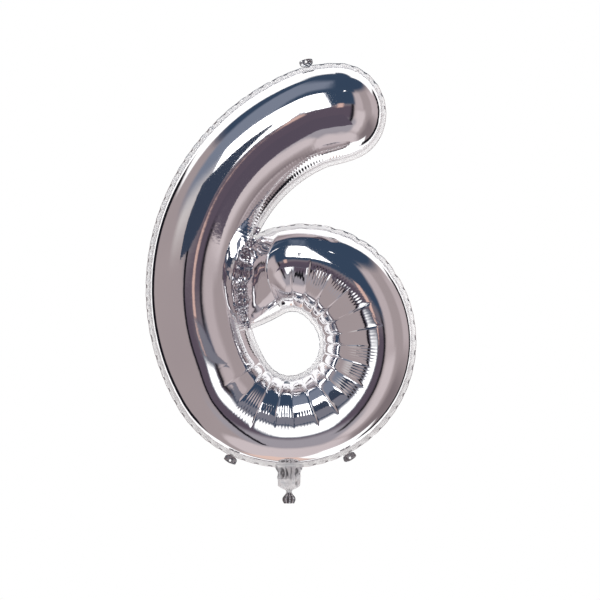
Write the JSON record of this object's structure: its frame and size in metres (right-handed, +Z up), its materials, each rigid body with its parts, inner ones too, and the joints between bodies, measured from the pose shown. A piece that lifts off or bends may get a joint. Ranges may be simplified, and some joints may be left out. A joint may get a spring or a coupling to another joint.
{
  "type": "foil number balloon",
  "caption": "Inflated metallised-film balloon in the shape of the digit six, with a heat-sealed rim, tied neck and hanging tabs.",
  "frame": {"origin": "centre of the tie on the neck, where the balloon is held", "axes": "+Z up through the digit, +X to the reader's right when the digit is read from the front, front sheet towards -Y, seam in the plane y = 0"},
  "size_m": [0.5755, 0.1834, 0.9508],
  "materials": {
    "silver_film": "vacuum-metallised polyester film, mirror bright and taut, finely puckered beside the seams",
    "valve_film": "clear flat polyethylene film, slightly milky",
    "tie_thread": "thin twisted white thread"
  },
  "bodies": {
    "envelope": {"front_foil": "silver_film", "back_foil": "silver_film", "valve_front_film": "valve_film", "valve_back_film": "valve_film"},
    "neck": {"neck_front_foil": "silver_film", "neck_back_foil": "silver_film", "neck_valve_front_film": "valve_film", "neck_valve_back_film": "valve_film", "tie_thread": "tie_thread"},
    "top_tab": {"tab_top": "silver_film"},
    "lower_left_tab": {"tab_lower_left": "silver_film"},
    "lower_right_tab": {"tab_lower_right": "silver_film"}
  },
  "joints": [
    {"name": "neck_fold", "type": "hinge", "parent": "envelope", "child": "neck", "pos_m": [0, 0, 0.0486], "axis": [1, 0, 0], "range_deg": [-80, 80], "stiffness_Nm_per_rad": 0.0003},
    {"name": "tab_top_fold", "type": "hinge", "parent": "envelope", "child": "top_tab", "pos_m": [0.03856, 0, 0.90578], "axis": [0.9712, 0, 0.2381], "range_deg": [-90, 90], "stiffness_Nm_per_rad": 0.00005},
    {"name": "tab_lower_left_fold", "type": "hinge", "parent": "envelope", "child": "lower_left_tab", "pos_m": [-0.12087, 0, 0.07465], "axis": [0.8941, 0, -0.4478], "range_deg": [-90, 90], "stiffness_Nm_per_rad": 0.00005},
    {"name": "tab_lower_right_fold", "type": "hinge", "parent": "envelope", "child": "lower_right_tab", "pos_m": [0.12536, 0, 0.07989], "axis": [0.8832, 0, 0.4689], "range_deg": [-90, 90], "stiffness_Nm_per_rad": 0.00005}
  ]
}
